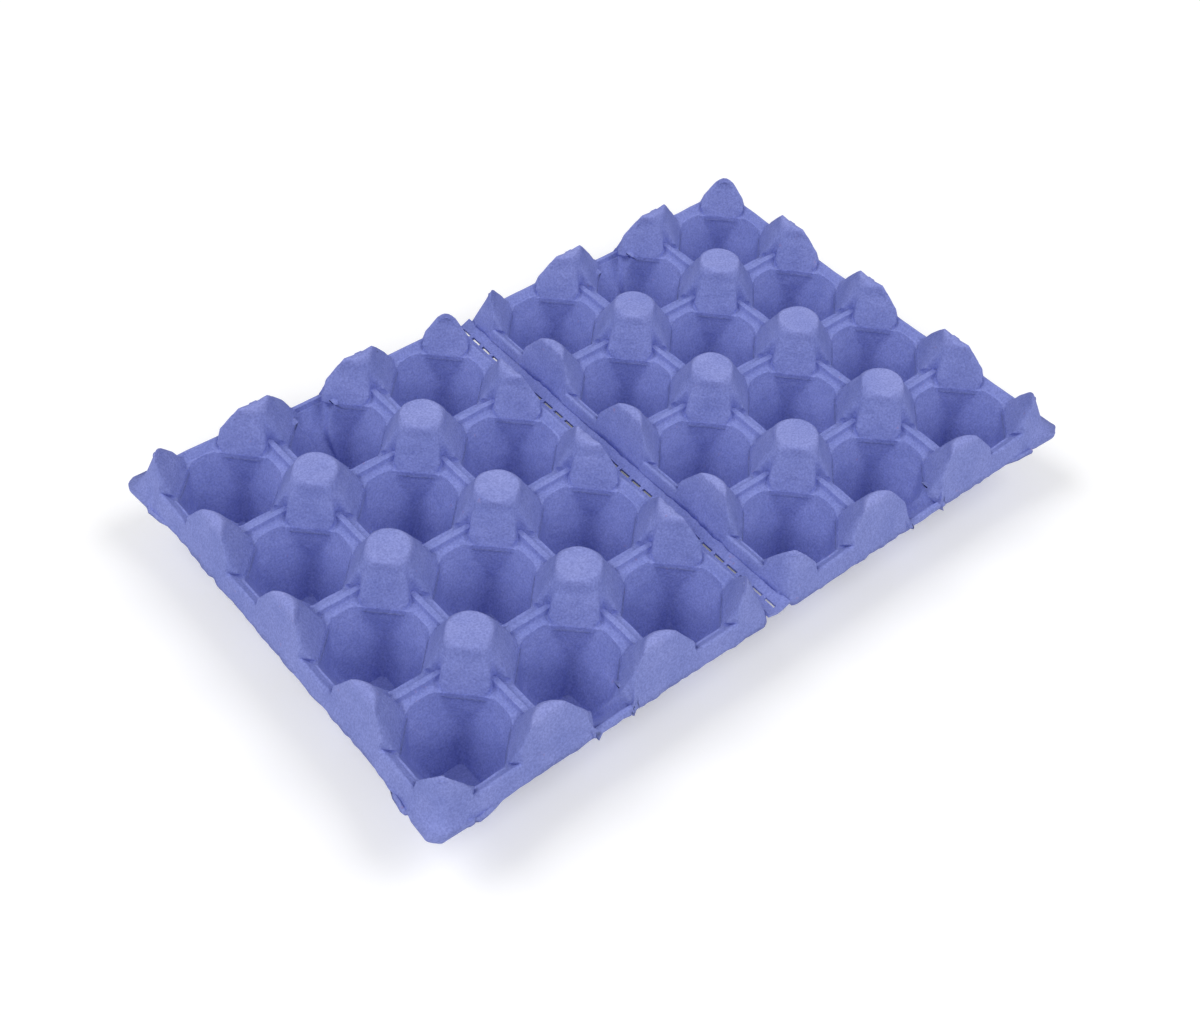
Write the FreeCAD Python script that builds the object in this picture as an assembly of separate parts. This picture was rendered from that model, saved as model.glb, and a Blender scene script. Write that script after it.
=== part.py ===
import FreeCAD
import Part
import math
import os

from FreeCAD import Vector

# A pulp egg tray for 24 eggs. One moulded sheet makes two halves of 3 by 4 cells, with a
# perforated web between them where the halves can be torn apart. The long side runs along X,
# the cup floors stand on Z = 0 and the origin is under the middle of the tray.
# Depths are measured down from the flat tops of the posts. All sizes are in millimetres.

# Cells and sheet
pitch = 48.0
cells_along = 3
cells_across = 4
height = 46.0
wall = 1.8

# Posts between the cells
post_top_radius = 8.0
post_shoulder_depth = 4.2
post_cap_depth = 5.0
post_shoulder_lean = 42.0
post_facet_lean = 25.0
post_side_lean = 6.0

# Saddles that join the posts
saddle_depth = 13.4
saddle_crest_width = 2.2
saddle_side_lean = 45.0

# Ledge around each cell, where the saddles and posts end and the cup begins
ledge_depth = 17.0
ledge_width = 0.5

# Cups
cup_floor_width = 13.4
cup_valley_width = 2.6
cup_corner_lean = 8.0

# Skirt round the outside of each half
skirt_inset = 4.3
skirt_lean = 18.0
skirt_depth = 20.6
skirt_corner_radius = 6.0

# Low place in the rim of the middle cell, on both long sides of each half
notch_depth = 18.7
notch_width = 18.4
notch_chute_width = 6.6
notch_chute_depth = 29.0

# Web between the halves, with its row of slots
web_depth = 17.6
grid_gap = 11.4
slots_per_cell = 7
slot_length = 4.6
slot_width = 1.6

# Each cutting body runs this far past what it cuts, and a cup's underside this far past its floor
overrun = 6.0
floor_overrun = 1.0

half_length = cells_along * pitch
half_width = cells_across * pitch


def slope(degrees):
    """Sideways run for each millimetre of depth, for a wall that leans this far from upright."""
    return math.tan(math.radians(degrees))


def offset_run(degrees, thickness):
    """Level distance between the two faces of a leaning wall of this thickness."""
    return thickness / math.cos(math.radians(degrees))


def level(depth):
    """Height above the cup floors of a depth below the post tops."""
    return height - depth


def rectangle(half_x, half_y, z, centre=(0.0, 0.0)):
    """Four corners of a level rectangle."""
    signs = ((-1, -1), (1, -1), (1, 1), (-1, 1))
    return [Vector(centre[0] + a * half_x, centre[1] + b * half_y, z) for a, b in signs]


def diamond(reach, z):
    """Four corners of a level square turned by 45 degrees, whose sides lie at this reach."""
    corner = reach * math.sqrt(2)
    signs = ((0, -1), (1, 0), (0, 1), (-1, 0))
    return [Vector(a * corner, b * corner, z) for a, b in signs]


def frustum(lower, upper):
    """A solid with flat sides between two level outlines whose sides are parallel."""
    faces = [Part.Face(Part.makePolygon(lower[::-1] + lower[-1:])),
             Part.Face(Part.makePolygon(upper + upper[:1]))]
    count = len(lower)
    for i in range(count):
        j = (i + 1) % count
        side = [lower[i], lower[j], upper[j], upper[i], lower[i]]
        faces.append(Part.Face(Part.makePolygon(side)))
    shell = Part.makeShell(faces)
    shell.sewShape()
    return Part.makeSolid(shell)


def upright_corners(solid):
    """The slanting corner edges of a frustum, apart from its level edges."""
    return [e for e in solid.Edges if abs(e.Vertexes[0].Z - e.Vertexes[1].Z) > 1.0]


# Reach of the flat walls of a cell from its middle, at a depth
diagonal = pitch / math.sqrt(2)
crest_reach = (pitch - saddle_crest_width) / 2
ledge_side_reach = crest_reach - slope(saddle_side_lean) * (ledge_depth - saddle_depth)
ledge_facet_reach = diagonal - post_top_radius - slope(post_facet_lean) * ledge_depth
ledge_corner_reach = ledge_facet_reach * math.sqrt(2) - ledge_side_reach
shoulder_reach = pitch / 2 - post_top_radius - slope(post_shoulder_lean) * post_shoulder_depth
crest_gap_reach = shoulder_reach - slope(post_side_lean) * (saddle_depth - post_shoulder_depth)
arm_lean = math.degrees(math.atan((crest_gap_reach - ledge_corner_reach) / (ledge_depth - saddle_depth)))
cup_depth = height - wall
slab_margin = slope(skirt_lean) * height + overrun
cup_lean = math.degrees(math.atan((ledge_side_reach - cup_floor_width / 2) / (cup_depth - ledge_depth)))


def saddle_reach(depth, thickness):
    run = slope(saddle_side_lean) * (depth - ledge_depth)
    return ledge_side_reach - run + offset_run(saddle_side_lean, thickness)


def facet_reach(depth, thickness):
    run = slope(post_facet_lean) * (depth - ledge_depth)
    return ledge_facet_reach - run + offset_run(post_facet_lean, thickness)


def gap_reach(depth, thickness):
    """Half the gap between two posts, over a saddle."""
    run = slope(post_side_lean) * (depth - post_shoulder_depth)
    return shoulder_reach - run + offset_run(post_side_lean, thickness)


def arm_reach(depth, thickness):
    """Half the length of a saddle's side, which shortens down to the corners of the ledge."""
    run = slope(arm_lean) * (depth - saddle_depth)
    return crest_gap_reach - run + offset_run(arm_lean, thickness)


def cell_mouth(thickness):
    """The space of a cell above its ledge, between four saddles and four posts."""
    low = ledge_depth + thickness
    high = -overrun
    sides = frustum(rectangle(*[saddle_reach(low, thickness)] * 2, level(low)),
                    rectangle(*[saddle_reach(high, thickness)] * 2, level(high)))
    facets = frustum(diamond(facet_reach(low, thickness), level(low)),
                     diamond(facet_reach(high, thickness), level(high)))
    crest = saddle_depth + thickness
    arm = frustum(rectangle(saddle_reach(low, thickness), arm_reach(low, thickness), level(low)),
                  rectangle(saddle_reach(crest, thickness), arm_reach(crest, thickness),
                            level(crest)))
    return sides.common(facets).fuse([arm, turned(arm, 90)])


def cup(thickness):
    """The space of a cup below the ledge: four panels that meet in narrow flat valleys."""
    high = ledge_depth + thickness
    if thickness == 0:
        low = cup_depth
        side = ledge_side_reach - ledge_width
        corner = ledge_facet_reach - ledge_width
    else:
        low = height + floor_overrun
        side = saddle_reach(high, thickness)
        corner = facet_reach(high, thickness)
    floor_side = cup_floor_width / 2 + offset_run(cup_lean, thickness) - slope(cup_lean) * (low - cup_depth)
    drop = low - high
    panels = frustum(rectangle(floor_side, floor_side, level(low)), rectangle(side, side, level(high)))
    corners = frustum(diamond(corner - slope(cup_corner_lean) * drop, level(low)),
                      diamond(corner, level(high)))
    space = panels.common(corners)
    if thickness == 0:
        cut = cup_valley_width / 2
        space = space.common(frustum(diamond(floor_side * math.sqrt(2) - cut, level(low)),
                                     diamond(side * math.sqrt(2) - cut, level(high))))
    return space


def channel(thickness, length):
    """The space over a line of saddles, along Y, between the sides of the posts."""
    low = saddle_depth + thickness
    high = -overrun
    half = length / 2 + overrun
    return frustum(rectangle(gap_reach(low, thickness), half, level(low)),
                   rectangle(gap_reach(high, thickness), half, level(high)))


def post_cap(thickness):
    """The top of a post, down to where its flat sides have left it: round above, square below."""
    inset = offset_run(post_shoulder_lean, thickness)
    top_radius = post_top_radius + slope(post_shoulder_lean) * thickness - inset
    low_radius = post_top_radius + slope(post_shoulder_lean) * post_cap_depth - inset
    low = level(post_cap_depth)
    if thickness == 0:
        return Part.makeCone(low_radius, top_radius, post_cap_depth, Vector(0, 0, low))
    return frustum(rectangle(low_radius, low_radius, low),
                   rectangle(top_radius, top_radius, level(thickness)))


def notch(thickness):
    """The space cut out of the rim, with the chute that leads from it down to the cup floor."""
    rim_reach = pitch / 2 + slope(skirt_lean) * notch_depth - skirt_inset - wall
    chute_lean = math.degrees(math.atan((rim_reach - cup_floor_width / 2) / (cup_depth - notch_depth)))
    side_lean = math.degrees(math.atan((crest_gap_reach - notch_width / 2) / (notch_depth - saddle_depth)))
    side = offset_run(side_lean, thickness)

    def gap(depth):
        half = notch_width / 2 + slope(side_lean) * (notch_depth - depth) + side
        return rectangle(half, pitch / 2, level(depth), (0.0, pitch / 2))

    def chute(depth, width):
        reach = rim_reach - slope(chute_lean) * (depth - notch_depth)
        y = (reach + offset_run(chute_lean, thickness)) / 2
        return rectangle(width / 2 + side, y, level(depth), (0.0, y))

    bottom = cup_depth if thickness == 0 else height + floor_overrun
    middle = notch_chute_depth
    opening = frustum(gap(notch_depth + thickness), gap(saddle_depth))
    upper = frustum(chute(middle, notch_chute_width), chute(notch_depth, notch_width))
    lower = frustum(chute(bottom, notch_chute_width), chute(middle, notch_chute_width))
    return opening.fuse(upper).fuse(lower)


def skirt_block(inset, top_depth, low_depth, radius):
    """A half's outer form, with leaning sides and rounded corners."""
    def outline(depth):
        grow = slope(skirt_lean) * depth - skirt_inset - inset
        return rectangle(half_length / 2 + grow, half_width / 2 + grow, level(depth))

    block = frustum(outline(low_depth), outline(top_depth))
    return block.makeFillet(radius, upright_corners(block))


def slab(low_depth, high_depth):
    """A level slab between two depths, wider than a half is at its floor."""
    return Part.makeBox(half_length + 2 * slab_margin, half_width + 2 * slab_margin,
                        low_depth - high_depth,
                        Vector(-half_length / 2 - slab_margin, -half_width / 2 - slab_margin,
                               level(low_depth)))


def places(count):
    """Middles of the cells in a row, seen from the middle of the row."""
    return [(i - (count - 1) / 2) * pitch for i in range(count)]


def moved(shape, x, y):
    copy = shape.copy()
    copy.translate(Vector(x, y, 0))
    return copy


def turned(shape, degrees):
    copy = shape.copy()
    copy.rotate(Vector(0, 0, 0), Vector(0, 0, 1), degrees)
    return copy


def hollows(thickness):
    """Everything taken out of a half from above, grown by a thickness for the underside."""
    tools = []
    mouth = cell_mouth(thickness)
    bowl = cup(thickness)
    for x in places(cells_along):
        for y in places(cells_across):
            tools.append(moved(mouth, x, y))
            tools.append(moved(bowl, x, y))
    lengthways = channel(thickness, half_width)
    for x in places(cells_along):
        tools.append(moved(lengthways, x, 0))
    crossways = turned(channel(thickness, half_length), 90)
    for y in places(cells_across):
        tools.append(moved(crossways, 0, y))
    gap = notch(thickness)
    edge_cell = places(cells_across)[-1]
    tools.append(moved(gap, 0, edge_cell))
    tools.append(moved(turned(gap, 180), 0, -edge_cell))
    layer = slab(post_cap_depth, -overrun)
    caps = []
    for x in places(cells_along + 1):
        for y in places(cells_across + 1):
            caps.append(moved(post_cap(thickness), x, y))
    tools.append(layer.cut(caps))
    return tools


def make_half():
    """One half of the tray: its upper form with its underside taken out."""
    upper = skirt_block(0.0, 0.0, height, skirt_corner_radius).cut(hollows(0.0))
    inset = offset_run(skirt_lean, wall)
    core = skirt_block(inset, wall, skirt_depth, skirt_corner_radius - wall)
    under = slab(height + overrun, skirt_depth)
    split_side = slab(height + overrun, web_depth + wall)
    split_side.translate(Vector(half_length + slab_margin - overrun / 2, 0, 0))
    lower = core.fuse([under, split_side]).cut(hollows(wall))
    return upper.cut(lower)


def make_web():
    """The strip between the halves, with its row of slots."""
    reach = grid_gap / 2 + skirt_inset - slope(skirt_lean) * web_depth + wall / 2
    end = half_width / 2 + slope(skirt_lean) * web_depth - skirt_inset
    strip = Part.makeBox(2 * reach, 2 * end, wall, Vector(-reach, -end, level(web_depth + wall)))
    slots = []
    count = cells_across * slots_per_cell
    step = pitch / slots_per_cell
    for i in range(count):
        y = (i - (count - 1) / 2) * step
        slots.append(Part.makeBox(slot_width, slot_length, wall + 2,
                                  Vector(-slot_width / 2, y - slot_length / 2,
                                         level(web_depth + wall) - 1)))
    return strip.cut(slots)


def make_tray():
    half = make_half()
    middle = (half_length + grid_gap) / 2
    left = moved(half, -middle, 0)
    right = moved(turned(half, 180), middle, 0)
    return left.fuse([right, make_web()]).removeSplitter()


os.makedirs("parts", exist_ok=True)
tray = make_tray()
print("solids", len(tray.Solids), "faces", len(tray.Faces), "valid", tray.isValid())
print("volume", round(tray.Volume), "box", tray.BoundBox)
tray.exportStep("parts/egg_tray.step")
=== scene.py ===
"""A lilac-blue pulp egg tray of two halves, seen from above its near left corner."""
import math

import bmesh
import bpy
from mathutils import Matrix, Quaternion, Vector, noise


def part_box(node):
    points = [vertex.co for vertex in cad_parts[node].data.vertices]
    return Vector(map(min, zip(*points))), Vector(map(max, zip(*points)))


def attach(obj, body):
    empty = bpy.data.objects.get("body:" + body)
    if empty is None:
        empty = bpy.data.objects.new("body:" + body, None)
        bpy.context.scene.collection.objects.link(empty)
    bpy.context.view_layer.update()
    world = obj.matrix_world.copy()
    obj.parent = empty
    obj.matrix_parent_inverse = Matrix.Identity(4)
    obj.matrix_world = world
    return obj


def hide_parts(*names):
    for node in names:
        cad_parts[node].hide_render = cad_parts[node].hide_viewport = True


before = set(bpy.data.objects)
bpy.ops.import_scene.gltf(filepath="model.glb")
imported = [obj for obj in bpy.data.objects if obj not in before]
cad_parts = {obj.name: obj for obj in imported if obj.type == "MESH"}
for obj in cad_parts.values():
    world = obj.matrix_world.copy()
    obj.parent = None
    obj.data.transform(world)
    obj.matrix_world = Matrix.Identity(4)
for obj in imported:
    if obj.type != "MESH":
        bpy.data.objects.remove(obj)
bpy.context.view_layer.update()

# Tray halves
# Each half is one moulded sheet of felted paper pulp, 3 by 4 cups between round-topped posts.
# The sheet is pressed a quarter of a cell at a time: an eighth of a cell is laid out in rows
# that follow the cup, the ledge, the saddle and the post, then mirrored, turned and repeated.
tray_low, tray_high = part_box("egg_tray")
millimetre = 0.001
height = (tray_high[2] - tray_low[2]) / millimetre

pitch = 48.0
cells_along = 3
cells_across = 4
grid_gap = 11.4
wall = 1.8
half_pitch = pitch / 2

cup_floor_depth = height - wall
cup_floor_reach = 6.7
cup_valley_radius = 2.2
cup_corner_run = 0.14
cup_fold_radius = 1.2
ledge_depth = 16.8
ledge_arch = 1.2
ledge_arch_columns = 6
ledge_lip = 0.25
ledge_groove = 0.14
ledge_side_reach = 19.3
ledge_corner_reach = 18.2
ledge_arm_end = 7.0
crest_depth = 13.4
crest_reach = 22.9
crest_step_share = 0.52
crest_crown = 0.12
post_facet_run = 0.466
post_top_radius = 7.9
post_top_edge = 0.3
post_edge_radius = 0.3
post_edge_radius_run = 0.9
post_shoulder_radius = 4.0
post_shoulder_run = 0.9
post_shoulder_depth = 4.2
post_corner_radius = 1.6
post_face_half = 8.3
post_face_half_at_ledge = 7.0

notch_rim_depth = 18.7
notch_rim_reach = 24.2
notch_rim_half = 9.2
notch_waist_depth = 29.0
notch_waist_half = 3.4
notch_ledge_depth = 20.4
chute_fold_radius = 0.8

# A cell's side faces another cell, the rim, or the low place in the rim
inner_side = {"crest": crest_depth, "face_run": 0.07, "step": 0.6, "end": half_pitch,
              "notched": False}
rim_side = {"crest": crest_depth, "face_run": 0.13, "step": 2.0, "end": 26.0, "notched": False}
low_side = {"crest": notch_rim_depth, "face_run": 0.13, "step": 2.0, "end": 28.0, "notched": True}

# The skirt leans outward below the rim, and flares at the tray's outer corners
skirt_inset = 4.3
skirt_run = 0.325
skirt_depth = 20.6
skirt_corner_radius = 6.0
skirt_rows = (0.06, 0.3, 0.5, 0.6, 1.0)
web_depth = 17.6
tear_side_from = 0.5
tear_side_run = 0.4
least_slant = 0.02
flare_depth = 13.0
flare = 3.9
flare_along = 0.8
flare_across = 0.6
flare_breadth = 15.0
corner_rise = 2.5

# The lower edge is torn a little ragged
tatter_pace = 0.3
tatter_out = 0.5
tatter_down = 1.0

# Outer corners that lifted as the sheet dried: place along and across, rise and breadth
dried_corners = ((-150.0, 96.0, 0.9, 34.0), (150.0, -96.0, 1.0, 38.0),
                 (-150.0, -96.0, 0.8, 30.0), (150.0, 96.0, 0.5, 34.0))
dent_breadth = 26.0
dent_depth = 0.45
dimple_breadth = 6.5
dimple_depth = 0.16

# A fixed seed gives the same dents and tatters each run
dent_seed = 5
noise.seed_set(dent_seed)


def smooth_max(a, b, width):
    """The larger of two numbers, with a rounded change from one to the other."""
    share = max(width - abs(a - b), 0.0) / width
    return max(a, b) + share * share * width / 4


def smooth_min(a, b, width):
    return -smooth_max(-a, -b, width)


def between(a, b, share):
    return a + (b - a) * share


nearest = 0.05
farthest = 2 * pitch
halvings = 34


def reach_to(surface, angle):
    """How far out a surface lies from a cell's or post's axis, in one direction."""
    near = nearest
    far = farthest
    across = math.cos(angle)
    up = math.sin(angle)
    for _ in range(halvings):
        middle = (near + far) / 2
        if surface(middle * across, middle * up) > 0:
            far = middle
        else:
            near = middle
    return (near + far) / 2


def cup_sides(depth):
    """Reach of a cup's four panels and of its four corner facets at a depth."""
    share = (depth - ledge_depth) / (cup_floor_depth - ledge_depth)
    side = between(ledge_side_reach - ledge_lip, cup_floor_reach, share)
    corner = ledge_corner_reach - ledge_lip - cup_corner_run * (depth - ledge_depth)
    return side, corner


def cup_surface(x, y, depth):
    side, corner = cup_sides(depth)
    round_x = x - side + cup_valley_radius
    round_y = y - side + cup_valley_radius
    if round_x > 0 and round_y > 0:
        panels = math.hypot(round_x, round_y) - cup_valley_radius
    else:
        panels = max(x, y) - side
    return smooth_max(panels, (x + y) / math.sqrt(2) - corner, cup_fold_radius)


def face_half(depth, kind):
    """Half the width of a post's four broad faces, which look towards the cells, at a depth."""
    return post_face_half + kind["face_run"] * max(depth - post_shoulder_depth, 0.0)


def gap_reach(depth, kind):
    """Half the gap between two posts at a depth, measured between the folds of their faces."""
    return half_pitch - math.sqrt(2) * face_half(depth, kind)


def mouth_sides(depth, kind):
    """Reach of the saddle side and of the post's face at a depth, from the cell's middle."""
    fall = (depth - crest_depth) / (ledge_depth - crest_depth)
    foot = crest_reach - kind["step"]
    if fall < crest_step_share:
        side = between(crest_reach, foot, fall / crest_step_share)
    else:
        side = between(foot, ledge_side_reach, (fall - crest_step_share) / (1 - crest_step_share))
    return side, ledge_corner_reach + post_facet_run * (ledge_depth - depth)


def post_surface(u, v, depth, kind):
    """A post is two broad bars crossed on the diagonals, under a round shoulder."""
    half = face_half(depth, kind)
    face = post_top_radius + post_facet_run * depth
    shoulder = post_top_radius + post_shoulder_run * depth
    shoulder -= post_top_edge * math.exp(-depth / post_top_edge)
    along = (u + v) / math.sqrt(2)
    across = (u - v) / math.sqrt(2)
    bar = smooth_max(across - half, along - face, post_corner_radius)
    crossed = smooth_min(bar, along - half, post_corner_radius)
    rounding = min(post_edge_radius + post_edge_radius_run * depth, post_shoulder_radius)
    return smooth_max(crossed, math.hypot(u, v) - shoulder, rounding)


def chute_sides(depth):
    """Reach and half width of the notch's outer panel at a depth."""
    share = (depth - notch_rim_depth) / (cup_floor_depth - notch_rim_depth)
    side = between(notch_rim_reach, cup_floor_reach, share)
    narrow = min((depth - notch_rim_depth) / (notch_waist_depth - notch_rim_depth), 1.0)
    return side, between(notch_rim_half, notch_waist_half, narrow)


columns = 11
saddle_columns = 4
facet_column = 7
ribbon_rows = 2
facet_spread = math.radians(2.4)
steepest_middle = math.radians(36)
steepest_corner = math.radians(41)
narrowest_face = math.radians(5)
diagonal = math.radians(45)

# Shares of the way along each stretch of a quarter's outline, one for each column
saddle_stations = (0.0, 0.34, 0.68, 0.92, 1.0)
fold_stations = (0.2, 0.7, 1.0)
face_stations = (0.15, 0.5, 0.8, 1.0)
valley_stations = (0.33, 0.67, 1.0)
facet_stations = (0.2, 0.55, 0.82, 1.0)
post_side_stations = (0.0, 0.12, 0.24, 0.5, 0.75, 1.0)
post_foot_rise = 0.3
post_round_rise = 0.6


def spread_angles(column, low_corner, high_corner):
    """Direction of a column, close together where the outline turns."""
    middle = min((low_corner + high_corner) / 2, steepest_middle)
    low_corner = min(low_corner, middle - facet_spread)
    high_corner = min(max(high_corner, middle + facet_spread), steepest_corner)
    stations = [share * low_corner for share in saddle_stations[:3]]
    stations += [low_corner - facet_spread / 2, low_corner]
    stations += [between(low_corner, high_corner, share) for share in valley_stations]
    stations += [between(high_corner, diagonal, share) for share in facet_stations]
    return stations[column]


def corner_share(column):
    """0 on the saddle's columns, 1 on the post facet's, rising between them."""
    return min(max((column - saddle_columns) / (facet_column - saddle_columns), 0.0), 1.0)


def ledge_at(column, kind):
    if kind["notched"]:
        return between(notch_ledge_depth, ledge_depth, corner_share(column))
    arch = ledge_arch * (1 - corner_share(column)) * (1 - (column / ledge_arch_columns) ** 2)
    return ledge_depth - arch


def crest_at(column, kind):
    return between(kind["crest"], crest_depth, corner_share(column))


def cup_point(column, depth, kind):
    side, corner = cup_sides(depth)
    edge = max(math.sqrt(2) * corner - side, 0.0)
    low_corner = high_corner = math.atan2(edge, side)
    surface = cup_surface
    if kind["notched"]:
        chute, half = chute_sides(depth)
        low_corner = math.atan2(half, chute)
        facing = min(side, math.sqrt(2) * corner - half)
        high_corner = math.atan2(half, facing)

        def surface(x, y, depth):
            notch = smooth_max(x - chute, y - half, chute_fold_radius)
            return smooth_min(cup_surface(x, y, depth), notch, chute_fold_radius)

    angle = spread_angles(column, low_corner, high_corner)
    reach = reach_to(lambda x, y: surface(x, y, depth), angle)
    return Vector((reach * math.cos(angle), reach * math.sin(angle), height - depth))


def mouth_point(column, depth, kind):
    """A point on the saddle's side, or on the post's face beyond it, above the ledge."""
    side, face = mouth_sides(depth, kind)
    arm = gap_reach(depth, kind) - (half_pitch - crest_reach)
    half = face_half(depth, kind)
    if kind["notched"]:
        side = between(chute_sides(depth)[0], notch_rim_reach, 0.5)
    else:
        sink = min(max((depth - crest_depth) / (ledge_depth - crest_depth), 0.0), 1.0)
        arm = between(arm, ledge_arm_end, sink)
        half = between(half, post_face_half_at_ledge, sink)
    root = math.sqrt(2)
    end = Vector((side, arm))
    corner = Vector(((face + half) / root, (face - half) / root))
    middle = Vector((face / root, face / root))
    if column <= saddle_columns:
        spot = Vector((side, 0.0)).lerp(end, saddle_stations[column])
    elif column <= facet_column:
        spot = end.lerp(corner, fold_stations[column - saddle_columns - 1])
    else:
        spot = corner.lerp(middle, face_stations[column - facet_column - 1])
    return Vector((spot.x, spot.y, height - depth))


floor_rows = (0.0, 0.4, 0.8)
cup_rows = (0.0, 0.03, 0.1, 0.22, 0.36, 0.5, 0.64, 0.78, 0.9, 0.965, 0.988, 1.0)
groove_rows = (0.25, 0.85)
mouth_rows = (0.04, 0.14, 0.3, 0.42, 0.5, 0.58, 0.8, 0.95, 1.0)
post_rows = (0.0, 0.05, 0.16, 0.3, 0.44, 0.56, 0.67, 0.77, 0.87, 0.94, 0.975, 1.0)
top_rows = (0.93, 0.6, 0.0)


def cell_row(column, row, kind):
    """A point of the rows from the middle of the cup floor up to the saddle's crest."""
    ledge = ledge_at(column, kind)
    if row < len(floor_rows):
        point = cup_point(column, cup_floor_depth, inner_side) * floor_rows[row]
        point.z = height - cup_floor_depth
        return point
    row -= len(floor_rows)
    if row < len(cup_rows):
        depth = between(cup_floor_depth, ledge, cup_rows[row])
        return cup_point(column, depth, kind)
    row -= len(cup_rows)
    crest = crest_at(column, kind)
    if row < len(groove_rows):
        lip = cup_point(column, ledge, kind)
        foot = mouth_point(column, ledge, kind)
        point = lip.lerp(foot, groove_rows[row])
        point.z -= ledge_groove * row
        return point
    row -= len(groove_rows)
    depth = between(ledge, crest, mouth_rows[row])
    return mouth_point(column, depth, kind)


cell_rows = len(floor_rows) + len(cup_rows) + len(groove_rows) + len(mouth_rows) - 1


def ribbon_point(column, row, kind):
    """A point on the saddle's narrow crest, between the edges of two cells."""
    edge = cell_row(column, cell_rows, kind)
    end = cell_row(saddle_columns, cell_rows, kind)
    share = row / ribbon_rows
    gap = gap_reach(kind["crest"], kind)
    x = between(edge.x, kind["end"], share)
    y = edge.y * between(1.0, gap / end.y, share)
    return Vector((x, y, edge.z + crest_crown * share))


def post_point(column, row, kind):
    """A point on a post's side or top, above the crest of the saddles."""
    if column < ribbon_rows:
        foot = ribbon_point(saddle_columns, ribbon_rows - column, kind)
        crest = kind["crest"]
    else:
        foot = cell_row(saddle_columns + column - ribbon_rows, cell_rows, kind)
        crest = crest_at(saddle_columns + column - ribbon_rows, kind)
    if row == 0:
        return foot
    if row < len(post_rows):
        depth = crest * (1 - post_rows[row])
        shrink = 1.0
    else:
        depth = 0.0
        shrink = top_rows[row - len(post_rows)]
    outside = math.atan2(half_pitch - foot.x, half_pitch - foot.y)
    rise = 1 - depth / crest
    even = diagonal * column / (columns - saddle_columns + ribbon_rows)
    face = post_top_radius + post_facet_run * depth
    half = face_half(depth, kind)
    turn = max(math.atan2(face - half, face + half), narrowest_face)
    corner = facet_column - saddle_columns + ribbon_rows
    if column <= corner:
        start = math.atan2(half_pitch - kind["end"], half_pitch)
        start *= max(depth - crest_depth, 0.0) / (notch_rim_depth - crest_depth)
        angle = between(start, turn, post_side_stations[column])
    else:
        angle = between(turn, diagonal, facet_stations[column - corner - 1])
    angle = between(angle, even, max(rise - post_round_rise, 0.0) / (1 - post_round_rise))
    angle = between(outside, angle, min(rise / post_foot_rise, 1.0))
    reach = shrink * reach_to(lambda u, v: post_surface(u, v, depth, kind), angle)
    return Vector((half_pitch - reach * math.sin(angle), half_pitch - reach * math.cos(angle),
                   height - depth))


merge_gap = 0.004
cut_merge_gap = 0.02
cut_turn = 15
crease_angle = math.radians(58)


def lay_sheet(mould, wide, long, place, kind):
    """Lays a sheet of wide by long faces in the mould, each point at its place."""
    sheet = bmesh.ops.create_grid(mould, x_segments=wide, y_segments=long, size=1.0)
    for point in sheet["verts"]:
        column = round((point.co.x + 1) / 2 * wide)
        row = round((point.co.y + 1) / 2 * long)
        point.co = place(column, row, kind)


def quarter_of_cell(name, kind):
    """The side of a cell towards +X, from one post to the next, as a mesh."""
    mould = bmesh.new()
    lay_sheet(mould, columns, cell_rows, cell_row, kind)
    lay_sheet(mould, saddle_columns, ribbon_rows, ribbon_point, kind)
    lay_sheet(mould, columns - saddle_columns + ribbon_rows, len(post_rows) + len(top_rows) - 1,
              post_point, kind)
    bmesh.ops.mirror(mould, geom=mould.verts[:] + mould.edges[:] + mould.faces[:],
                     matrix=Matrix.Identity(4), merge_dist=merge_gap, axis="Y")
    bmesh.ops.remove_doubles(mould, verts=mould.verts, dist=merge_gap)
    mesh = bpy.data.meshes.new(name)
    mould.to_mesh(mesh)
    mould.free()
    return mesh


def outline_corner(depth):
    """Where the round corner of a half's skirt has its middle, at a depth."""
    grow = skirt_run * depth - skirt_inset - skirt_corner_radius
    return (cells_along * half_pitch + grow, cells_across * half_pitch + grow)


def cut_along_skirt(half):
    """Cuts a half's sheet off along its leaning sides and round corners."""
    for degrees in range(0, 360, cut_turn):
        turn = math.radians(degrees)
        out = Vector((math.cos(turn), math.sin(turn), 0.0))
        along, across = outline_corner(0.0)
        reach = along * abs(out.x) + across * abs(out.y) + skirt_corner_radius
        lean = skirt_run * (abs(out.x) + abs(out.y))
        bmesh.ops.bisect_plane(half, geom=half.verts[:] + half.edges[:] + half.faces[:],
                               dist=0.01, plane_co=out * reach + Vector((0, 0, height)),
                               plane_no=Vector((out.x, out.y, lean)), clear_outer=True)


def corner_nearness(point):
    """1 at the half's outer corners, away from the tear side, falling off around them."""
    along = point.x + cells_along * half_pitch
    across = abs(point.y) - cells_across * half_pitch
    return math.exp(-(along ** 2 + across ** 2) / (2 * flare_breadth ** 2))


def flared(depth):
    """How much of the flare there is at a depth: none at flare_depth, all at the lower edge."""
    return max((depth - flare_depth) / (skirt_depth - flare_depth), 0.0) ** 2


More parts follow.
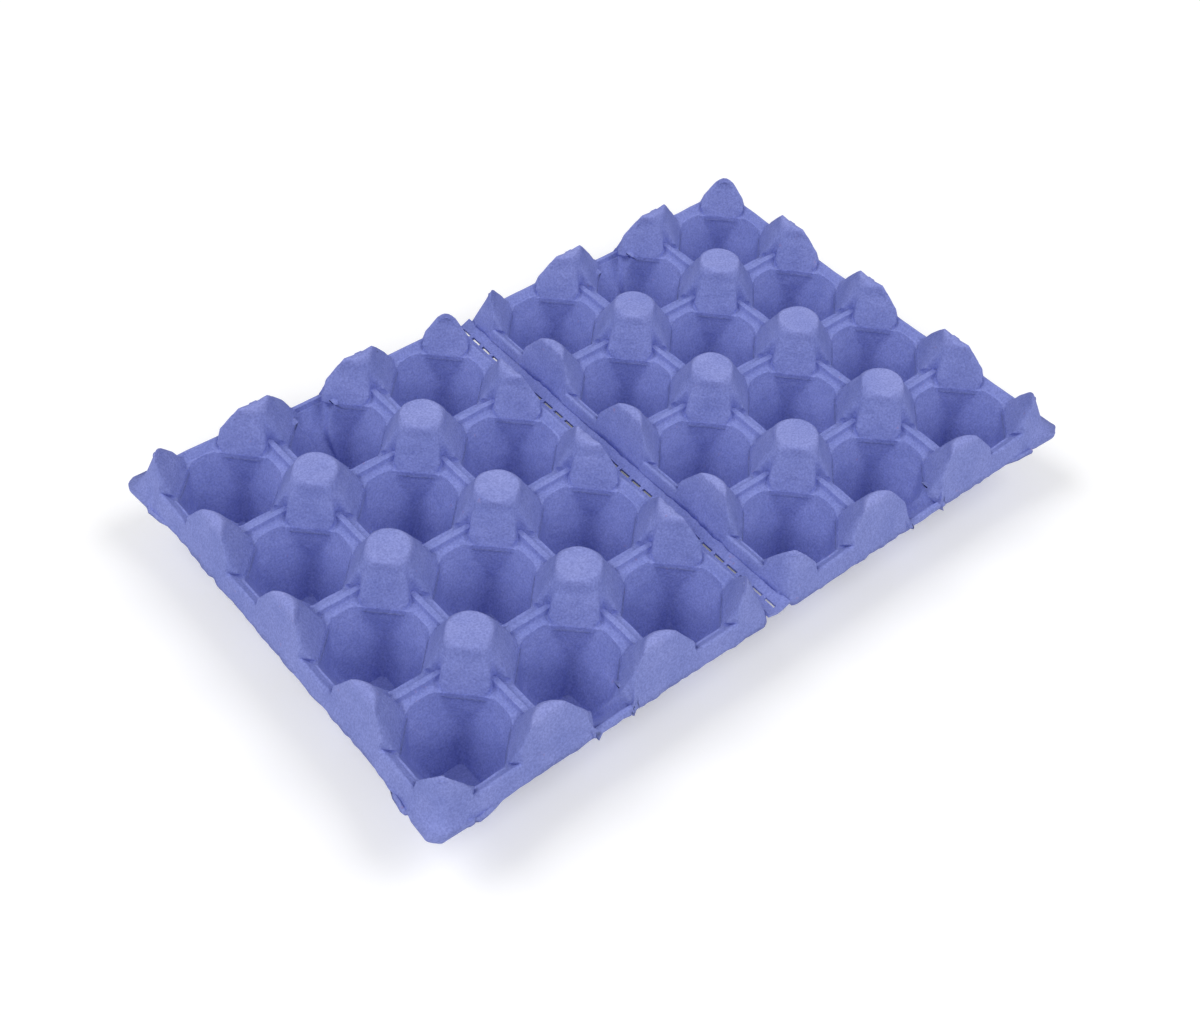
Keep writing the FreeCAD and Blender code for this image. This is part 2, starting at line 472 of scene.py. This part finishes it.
def skirt_drop(point, share):
    """Moves a point on the skirt down a share of the way to the skirt's lower edge."""
    depth = height - point.z
    along, across = outline_corner(depth)
    beyond_x = math.copysign(max(abs(point.x) - along, 0.0), point.x)
    beyond_y = math.copysign(max(abs(point.y) - across, 0.0), point.y)
    out = Vector((beyond_x, beyond_y)).normalized()
    tear_side = min(max((out.x - tear_side_from) / tear_side_run, 0.0), 1.0)
    foot = between(skirt_depth, web_depth, tear_side)
    fall = (foot - depth) * share
    spread = flare * corner_nearness(point) * (flared(depth + fall) - flared(depth))
    if abs(out.x) > least_slant:
        point.x += math.copysign(skirt_run * fall, point.x)
    if abs(out.y) > least_slant:
        point.y += math.copysign(skirt_run * fall, point.y)
    point.x -= flare_along * spread
    point.y += math.copysign(flare_across * spread, point.y)
    point.z -= fall


def settle(point):
    """Dries the sheet: its outer corners lift, and its walls go a little out of true."""
    above_floor = min(point.z / (height - ledge_depth), 1.0)
    for along, across, rise, breadth in dried_corners:
        far = ((point.x - along) ** 2 + (point.y - across) ** 2) / (2 * breadth ** 2)
        point.z += rise * above_floor * math.exp(-far)
    dent = noise.noise_vector(point / dent_breadth) * dent_depth
    dimple = noise.noise_vector(point / dimple_breadth) * dimple_depth
    point += (dent + dimple) * above_floor


def press_half(name, seed, turn):
    """One half of the tray, with its tear side towards +X before it is turned."""
    half = bmesh.new()
    for i in range(cells_along):
        for j in range(cells_across):
            middle = Vector(((i - (cells_along - 1) / 2) * pitch,
                             (j - (cells_across - 1) / 2) * pitch, 0.0))
            for side in range(4):
                at_rim = (i == cells_along - 1, j == cells_across - 1, i == 0, j == 0)[side]
                start = len(half.verts)
                if at_rim and i == 1:
                    half.from_mesh(low_quarter)
                elif at_rim:
                    half.from_mesh(rim_quarter)
                else:
                    half.from_mesh(inner_quarter)
                half.verts.ensure_lookup_table()
                place = Matrix.Translation(middle) @ Matrix.Rotation(side * math.pi / 2, 4, "Z")
                bmesh.ops.transform(half, matrix=place, verts=half.verts[start:])
    bmesh.ops.remove_doubles(half, verts=half.verts, dist=merge_gap)
    cut_along_skirt(half)
    bmesh.ops.remove_doubles(half, verts=half.verts, dist=cut_merge_gap)
    rim = [edge for edge in half.edges if edge.is_boundary]
    brow = {end for edge in rim for end in edge.verts}
    for share in skirt_rows:
        made = bmesh.ops.extrude_edge_only(half, edges=rim)["geom"]
        rim = [part for part in made if isinstance(part, bmesh.types.BMEdge)]
        for point in {end for edge in rim for end in edge.verts}:
            skirt_drop(point.co, share)
    for _ in range(2):
        bmesh.ops.smooth_vert(half, verts=list(brow), factor=0.5, use_axis_x=True,
                              use_axis_y=True, use_axis_z=True)
    for point in {end for edge in rim for end in edge.verts}:
        tatter = noise.noise_vector(Vector((point.co.x * tatter_pace + seed,
                                            point.co.y * tatter_pace, 0.0)))
        point.co += Vector((tatter_out * tatter.x, tatter_out * tatter.y, tatter_down * tatter.z))
        point.co.z += corner_rise * corner_nearness(point.co)
    bmesh.ops.recalc_face_normals(half, faces=half.faces)
    half.faces.ensure_lookup_table()
    if half.faces[0].normal.z < 0:
        bmesh.ops.reverse_faces(half, faces=half.faces)
    shift = Vector((-(cells_along * half_pitch + grid_gap / 2), 0.0, 0.0))
    place = Matrix.Rotation(turn, 4, "Z") @ Matrix.Translation(shift)
    bmesh.ops.transform(half, matrix=place, verts=half.verts)
    for point in half.verts:
        settle(point.co)
    bmesh.ops.transform(half, matrix=Matrix.Scale(millimetre, 4), verts=half.verts)
    mesh = bpy.data.meshes.new(name)
    half.to_mesh(mesh)
    half.free()
    mesh.shade_smooth()
    mesh.set_sharp_from_angle(angle=crease_angle)
    piece = bpy.data.objects.new(name, mesh)
    bpy.context.collection.objects.link(piece)
    sheet = piece.modifiers.new("sheet", "SOLIDIFY")
    sheet.thickness = wall * millimetre
    sheet.offset = -1.0
    return piece


thin_pulp = (0.235, 0.28, 0.66, 1)
thick_pulp = (0.3, 0.345, 0.75, 1)
# Paler copies of the pulp colour for the post tops: a painted highlight standing for the light
# from above
thin_top_highlight = (0.3, 0.34, 0.76, 1)
thick_top_highlight = (0.37, 0.41, 0.83, 1)
dark_rust = (0.34, 0.2, 0.36, 1)
pale_rust = (0.42, 0.27, 0.45, 1)
fibre_shade = (0.72, 0.72, 0.78, 1)
none_of_it = (0, 0, 0, 1)
all_of_it = (1.0, 1.0, 1.0, 1)
# How far the painted top highlight goes towards the paler colours
top_highlight_share = (0.7, 0.7, 0.7, 1)
rust_share = (0.55, 0.55, 0.55, 1)

# Heights in metres between which a post's top turns from the dyed colour to a paler one, a
# painted highlight for the light on the tops
top_highlight_from = 0.0451
top_highlight_to = 0.0457

# How many patches of each pattern there are to a metre
mottle_scale = 70.0
blot_scale = 170.0
lump_scale = 160.0
felt_scale = 800.0
rust_scale = 900.0
fibre_scale = 1300.0


def pulp_finish():
    """Dyed paper pulp: matt, mottled where the fibres lie thick, with a painted highlight making
    the post tops paler.
    """
    pulp = bpy.data.materials.new("lilac_blue_pulp")
    pulp.use_nodes = True
    nodes = pulp.node_tree.nodes
    links = pulp.node_tree.links
    shader = nodes["Principled BSDF"]
    shader.inputs["Roughness"].default_value = 0.95
    shader.inputs["Specular IOR Level"].default_value = 0.1
    place = nodes.new("ShaderNodeTexCoord")

    def cloud(scale, detail, roughness):
        pattern = nodes.new("ShaderNodeTexNoise")
        pattern.inputs["Scale"].default_value = scale
        pattern.inputs["Detail"].default_value = detail
        pattern.inputs["Roughness"].default_value = roughness
        links.new(place.outputs["Object"], pattern.inputs["Vector"])
        return pattern.outputs["Fac"]

    def ramp(pattern, low, high, low_colour, high_colour):
        shades = nodes.new("ShaderNodeValToRGB")
        shades.color_ramp.elements[0].position = low
        shades.color_ramp.elements[0].color = low_colour
        shades.color_ramp.elements[1].position = high
        shades.color_ramp.elements[1].color = high_colour
        links.new(pattern, shades.inputs["Fac"])
        return shades.outputs["Color"]

    def blend(kind, share, first, second):
        mix = nodes.new("ShaderNodeMix")
        mix.data_type = "RGBA"
        mix.blend_type = kind
        if isinstance(share, float):
            mix.inputs["Factor"].default_value = share
        else:
            links.new(share, mix.inputs["Factor"])
        links.new(first, mix.inputs["A"])
        links.new(second, mix.inputs["B"])
        return mix.outputs["Result"]

    thick = cloud(mottle_scale, 6.0, 0.65)
    mottle = ramp(thick, 0.3, 0.7, thin_pulp, thick_pulp)
    top_highlight_colours = ramp(thick, 0.3, 0.7, thin_top_highlight, thick_top_highlight)
    up = nodes.new("ShaderNodeSeparateXYZ")
    links.new(place.outputs["Object"], up.inputs["Vector"])
    # Post tops above a set height turn paler: a painted highlight for the light from above
    top_highlight_mask = ramp(up.outputs["Z"], top_highlight_from, top_highlight_to, none_of_it, top_highlight_share)
    fibre = ramp(cloud(fibre_scale, 3.0, 0.65), 0.36, 0.64, fibre_shade, all_of_it)
    felted = blend("MULTIPLY", 1.0, blend("MIX", top_highlight_mask, mottle, top_highlight_colours), fibre)
    blot = ramp(cloud(blot_scale, 4.0, 0.7), 0.68, 0.76, none_of_it, rust_share)
    rust = ramp(cloud(rust_scale, 2.0, 0.5), 0.4, 0.6, dark_rust, pale_rust)
    links.new(blend("MIX", blot, felted, rust), shader.inputs["Base Color"])
    felt = nodes.new("ShaderNodeBump")
    felt.inputs["Strength"].default_value = 0.45
    felt.inputs["Distance"].default_value = 0.0006
    links.new(cloud(felt_scale, 5.0, 0.7), felt.inputs["Height"])
    lumps = nodes.new("ShaderNodeBump")
    lumps.inputs["Strength"].default_value = 0.35
    lumps.inputs["Distance"].default_value = 0.002
    links.new(cloud(lump_scale, 3.0, 0.5), lumps.inputs["Height"])
    links.new(felt.outputs["Normal"], lumps.inputs["Normal"])
    links.new(lumps.outputs["Normal"], shader.inputs["Normal"])
    return pulp


inner_quarter = quarter_of_cell("inner_quarter", inner_side)
rim_quarter = quarter_of_cell("rim_quarter", rim_side)
low_quarter = quarter_of_cell("low_quarter", low_side)
pulp = pulp_finish()
for name, seed, turn in (("left_half", 3.7, 0.0), ("right_half", 41.3, math.pi)):
    half = press_half(name, seed, turn)
    half.data.materials.append(pulp)
    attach(half, "root")
    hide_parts("egg_tray")

# Tear web
# The strip of the same sheet that joins the halves. It has a row of slots along its middle,
# so the tray can be torn in two.
slots_per_cell = 7
slot_length = 5.2
slot_width = 1.3
web_reach = 5.2
web_fold = 2.0
web_wall = 1.4
web_shoulder_depth = 17.4
web_fold_depth = 18.7
web_middle_depth = 19.1
web_end_margin = 3.0

web = bmesh.new()
slot_step = pitch / slots_per_cell
slot_count = cells_across * slots_per_cell
web_end = cells_across * half_pitch - skirt_inset + skirt_run * web_depth
web_rows = [-web_end]
for i in range(slot_count):
    middle = (i - (slot_count - 1) / 2) * slot_step
    web_rows += [middle - slot_length / 2, middle + slot_length / 2]
web_rows.append(web_end)
web_columns = (-web_reach, -web_fold, -slot_width / 2, slot_width / 2, web_fold, web_reach)
web_depths = (web_shoulder_depth, web_fold_depth, web_middle_depth, web_middle_depth,
              web_fold_depth, web_shoulder_depth)
strip = bmesh.ops.create_grid(web, x_segments=len(web_columns) - 1, y_segments=len(web_rows) - 1,
                              size=1.0)
for point in strip["verts"]:
    column = round((point.co.x + 1) / 2 * (len(web_columns) - 1))
    row = round((point.co.y + 1) / 2 * (len(web_rows) - 1))
    point.co = Vector((web_columns[column], web_rows[row], height - web_depths[column]))
holes = []
for face in web.faces:
    middle = face.calc_center_median()
    in_slot = abs((middle.y / slot_step) % 1.0 - 0.5) < slot_length / slot_step / 2
    if abs(middle.x) < slot_width / 2 and in_slot and abs(middle.y) < web_end - web_end_margin:
        holes.append(face)
bmesh.ops.delete(web, geom=holes, context="FACES")
for point in web.verts:
    settle(point.co)
bmesh.ops.transform(web, matrix=Matrix.Scale(millimetre, 4), verts=web.verts)
web_mesh = bpy.data.meshes.new("tear_web")
web.to_mesh(web_mesh)
web.free()
tear_web = bpy.data.objects.new("tear_web", web_mesh)
bpy.context.collection.objects.link(tear_web)
sheet = tear_web.modifiers.new("sheet", "SOLIDIFY")
sheet.thickness = web_wall * millimetre
sheet.offset = -1.0
tear_web.data.materials.append(pulp)
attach(tear_web, "root")
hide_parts("egg_tray")

# Floor
# A plain white studio floor that takes the tray's shadow. It is lifted a little for the
# camera's own rays, so that it shows as white paper does.
floor_reach = 6.0
floor_grey = 0.9
floor_lift = 0.2
floor_mesh = bpy.data.meshes.new("floor")
plate = bmesh.new()
bmesh.ops.create_grid(plate, x_segments=1, y_segments=1, size=floor_reach)
plate.to_mesh(floor_mesh)
plate.free()
floor = bpy.data.objects.new("floor", floor_mesh)
bpy.context.collection.objects.link(floor)
paper = bpy.data.materials.new("white_floor")
paper.use_nodes = True
nodes = paper.node_tree.nodes
links = paper.node_tree.links
white = nodes["Principled BSDF"]
white.inputs["Base Color"].default_value = (floor_grey, floor_grey, floor_grey, 1)
white.inputs["Roughness"].default_value = 1.0
lift = nodes.new("ShaderNodeEmission")
lift.inputs["Strength"].default_value = floor_lift
seen = nodes.new("ShaderNodeLightPath")
dark = nodes.new("ShaderNodeBsdfTransparent")
dark.inputs["Color"].default_value = (0, 0, 0, 1)
camera_only = nodes.new("ShaderNodeMixShader")
links.new(seen.outputs["Is Camera Ray"], camera_only.inputs["Fac"])
links.new(dark.outputs["BSDF"], camera_only.inputs[1])
links.new(lift.outputs["Emission"], camera_only.inputs[2])
both = nodes.new("ShaderNodeAddShader")
links.new(white.outputs["BSDF"], both.inputs[0])
links.new(camera_only.outputs["Shader"], both.inputs[1])
links.new(both.outputs["Shader"], nodes["Material Output"].inputs["Surface"])
floor.data.materials.append(paper)

# Light
# Broad soft lamps stand high to the left and right and low in front, in a dim white room.
# Together they light a level surface about as strongly as its colour is written.
world = bpy.data.worlds.new("room")
world.use_nodes = True
bpy.context.scene.world = world
sky = world.node_tree.nodes["Background"]
sky.inputs["Color"].default_value = (1, 1, 1, 1)
sky.inputs["Strength"].default_value = 0.32


def soft_lamp(name, towards, strength, spread):
    """A lamp as large as a softbox, far off in one direction."""
    lamp = bpy.data.lights.new(name, "SUN")
    lamp.energy = strength
    lamp.angle = math.radians(spread)
    stand = bpy.data.objects.new(name, lamp)
    stand.rotation_euler = Vector(towards).to_track_quat("Z", "Y").to_euler()
    bpy.context.collection.objects.link(stand)


soft_lamp("front", (-0.67, -0.74, 0.62), 0.75, 24)
soft_lamp("left_side", (-0.74, 0.67, 1.3), 1.15, 34)
soft_lamp("right_side", (0.74, -0.67, 1.3), 1.0, 34)

# Camera
# The camera stands over the tray's near left corner and looks down along its diagonal,
# rolled a few degrees.
view = bpy.data.cameras.new("view")
view.lens = 47.96
view.sensor_width = 36.0
view.sensor_fit = "HORIZONTAL"
camera = bpy.data.objects.new("view", view)
bpy.context.collection.objects.link(camera)
heading = math.radians(47.91)
downward = math.radians(47.161)
roll = math.radians(3.361)
aim = Vector((math.cos(heading) * math.cos(downward), math.sin(heading) * math.cos(downward),
              -math.sin(downward)))
camera.rotation_mode = "QUATERNION"
camera.rotation_quaternion = aim.to_track_quat("-Z", "Y") @ Quaternion((0, 0, 1), roll)
camera.location = Vector((-0.2965, -0.3259, 0.4729))
bpy.context.scene.camera = camera
bpy.context.scene.view_settings.view_transform = "Standard"
